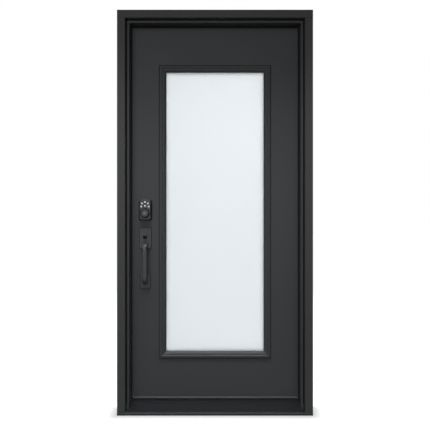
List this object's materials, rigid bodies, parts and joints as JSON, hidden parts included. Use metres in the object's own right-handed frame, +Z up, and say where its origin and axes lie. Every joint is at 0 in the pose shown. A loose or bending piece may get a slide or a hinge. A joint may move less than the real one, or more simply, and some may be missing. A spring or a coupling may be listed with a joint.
{
  "type": "steel entry door",
  "caption": "Insulated steel entry door in its frame: tall frosted lite, keypad deadbolt and pull handle on the left, hinges on the right, sloped sill below; opens inwards.",
  "frame": {"origin": "middle of the door unit's width, on the underside of the sill, in the plane of the wall's outer face (the brickmould's back)", "axes": "+X to the right as seen from outside, +Y into the house, +Z up"},
  "size_m": [1.007, 0.212, 2.084],
  "materials": {
    "frame_paint": "satin",
    "sill_metal": "satin",
    "sill_block": "matte",
    "cap_plastic": "matte",
    "seal_foam": "matte",
    "sweep_vinyl": "matte",
    "skin_paint": "satin",
    "board_wood": "satin",
    "core_foam": "matte",
    "lite_plastic": "satin",
    "frosted_glass": "matte",
    "clear_glass": "gloss",
    "spacer_metal": "matte",
    "hardware_steel": "satin",
    "hardware_dark": "satin",
    "plug_metal": "satin",
    "button_lens": "gloss"
  },
  "bodies": {
    "frame": {"strike_jamb": "frame_paint", "hinge_jamb": "frame_paint", "head_jamb": "frame_paint", "brickmould_left": "frame_paint", "brickmould_right": "frame_paint", "brickmould_head": "frame_paint", "sill_deck": "sill_metal", "sill_substrate": "sill_block", "threshold_cap": "cap_plastic", "weatherstrip_strike_side": "seal_foam", "weatherstrip_hinge_side": "seal_foam", "weatherstrip_head": "seal_foam", "corner_pads": "seal_foam", "latch_strike": "hardware_steel", "deadbolt_strike": "hardware_steel", "frame_screws": "hardware_steel", "hinge_pins": "hardware_steel", "hinge_top_frame_leaf": "hardware_steel", "hinge_middle_frame_leaf": "hardware_steel", "hinge_bottom_frame_leaf": "hardware_steel"},
    "leaf": {"exterior_skin": "skin_paint", "interior_skin": "skin_paint", "hinge_stile": "board_wood", "lock_stile": "board_wood", "top_rail": "board_wood", "bottom_rail": "board_wood", "lock_block": "board_wood", "foam_core": "core_foam", "lite_frame_exterior": "lite_plastic", "lite_frame_interior": "lite_plastic", "outer_glass": "frosted_glass", "inner_glass": "clear_glass", "glass_spacer": "spacer_metal", "door_sweep": "sweep_vinyl", "leaf_screws": "hardware_steel", "keypad_housing": "hardware_dark", "lock_inside_cover": "hardware_dark", "deadbolt_case": "hardware_steel", "latch_case": "hardware_steel", "handle_upper_plate": "hardware_dark", "handle_lower_plate": "hardware_dark", "handle_grip": "hardware_dark", "inside_rose": "hardware_dark", "lock_bolts": "hardware_steel", "hinge_top_door_leaf": "hardware_steel", "hinge_middle_door_leaf": "hardware_steel", "hinge_bottom_door_leaf": "hardware_steel"},
    "turn_knob": {"turn_knob": "hardware_dark"},
    "key_plug": {"key_plug": "plug_metal"},
    "thumb_piece": {"thumb_piece": "hardware_dark"},
    "inside_knob": {"inside_knob": "hardware_dark"},
    "thumbturn": {"thumbturn": "hardware_dark"},
    "latch_bolt": {"latch_bolt": "hardware_steel"},
    "deadbolt": {"deadbolt": "hardware_steel"},
    "button_1": {"button_1": "button_lens"},
    "button_2": {"button_2": "button_lens"},
    "button_3": {"button_3": "button_lens"},
    "button_4": {"button_4": "button_lens"},
    "button_5": {"button_5": "button_lens"},
    "button_6": {"button_6": "button_lens"}
  },
  "joints": [
    {"name": "leaf_swing", "type": "hinge", "parent": "frame", "child": "leaf", "pos_m": [0.4556, 0.1225, 1.1], "axis": [0, 0, -1], "range_deg": [0, 110]},
    {"name": "thumb_press", "type": "hinge", "parent": "leaf", "child": "thumb_piece", "pos_m": [-0.3675, 0.06805, 0.9063], "axis": [1, 0, 0], "range_deg": [0, 15], "stiffness_Nm_per_rad": 1.5, "springref_deg": -8.59},
    {"name": "latch_draw", "type": "slide", "parent": "leaf", "child": "latch_bolt", "axis": [1, 0, 0], "range_m": [0, 0.012]},
    {"name": "inside_knob_turn", "type": "hinge", "parent": "leaf", "child": "inside_knob", "pos_m": [-0.3675, 0.126, 0.8993], "axis": [0, 1, 0], "range_deg": [-60, 60], "stiffness_Nm_per_rad": 0.4},
    {"name": "thumbturn_turn", "type": "hinge", "parent": "leaf", "child": "thumbturn", "pos_m": [-0.3675, 0.146, 1.039], "axis": [0, 1, 0], "range_deg": [0, 90]},
    {"name": "deadbolt_throw", "type": "slide", "parent": "leaf", "child": "deadbolt", "axis": [-1, 0, 0], "range_m": [0, 0.0254]},
    {"name": "turn_knob_spin", "type": "hinge", "parent": "leaf", "child": "turn_knob", "pos_m": [-0.3675, 0.0435, 1.039], "axis": [0, 1, 0], "continuous": true},
    {"name": "key_turn", "type": "hinge", "parent": "turn_knob", "child": "key_plug", "pos_m": [-0.3675, 0.0335, 1.039], "axis": [0, 1, 0], "range_deg": [-90, 90]},
    {"name": "button_1_press", "type": "slide", "parent": "leaf", "child": "button_1", "axis": [0, 1, 0], "range_m": [0, 0.001], "stiffness_N_per_m": 400, "springref_m": -0.0005},
    {"name": "button_2_press", "type": "slide", "parent": "leaf", "child": "button_2", "axis": [0, 1, 0], "range_m": [0, 0.001], "stiffness_N_per_m": 400, "springref_m": -0.0005},
    {"name": "button_3_press", "type": "slide", "parent": "leaf", "child": "button_3", "axis": [0, 1, 0], "range_m": [0, 0.001], "stiffness_N_per_m": 400, "springref_m": -0.0005},
    {"name": "button_4_press", "type": "slide", "parent": "leaf", "child": "button_4", "axis": [0, 1, 0], "range_m": [0, 0.001], "stiffness_N_per_m": 400, "springref_m": -0.0005},
    {"name": "button_5_press", "type": "slide", "parent": "leaf", "child": "button_5", "axis": [0, 1, 0], "range_m": [0, 0.001], "stiffness_N_per_m": 400, "springref_m": -0.0005},
    {"name": "button_6_press", "type": "slide", "parent": "leaf", "child": "button_6", "axis": [0, 1, 0], "range_m": [0, 0.001], "stiffness_N_per_m": 400, "springref_m": -0.0005}
  ],
  "couplings": [
    {"joint": "thumb_press", "follows": "latch_draw", "rad_per_m": 21.81},
    {"joint": "thumbturn_turn", "follows": "deadbolt_throw", "rad_per_m": 61.84}
  ]
}
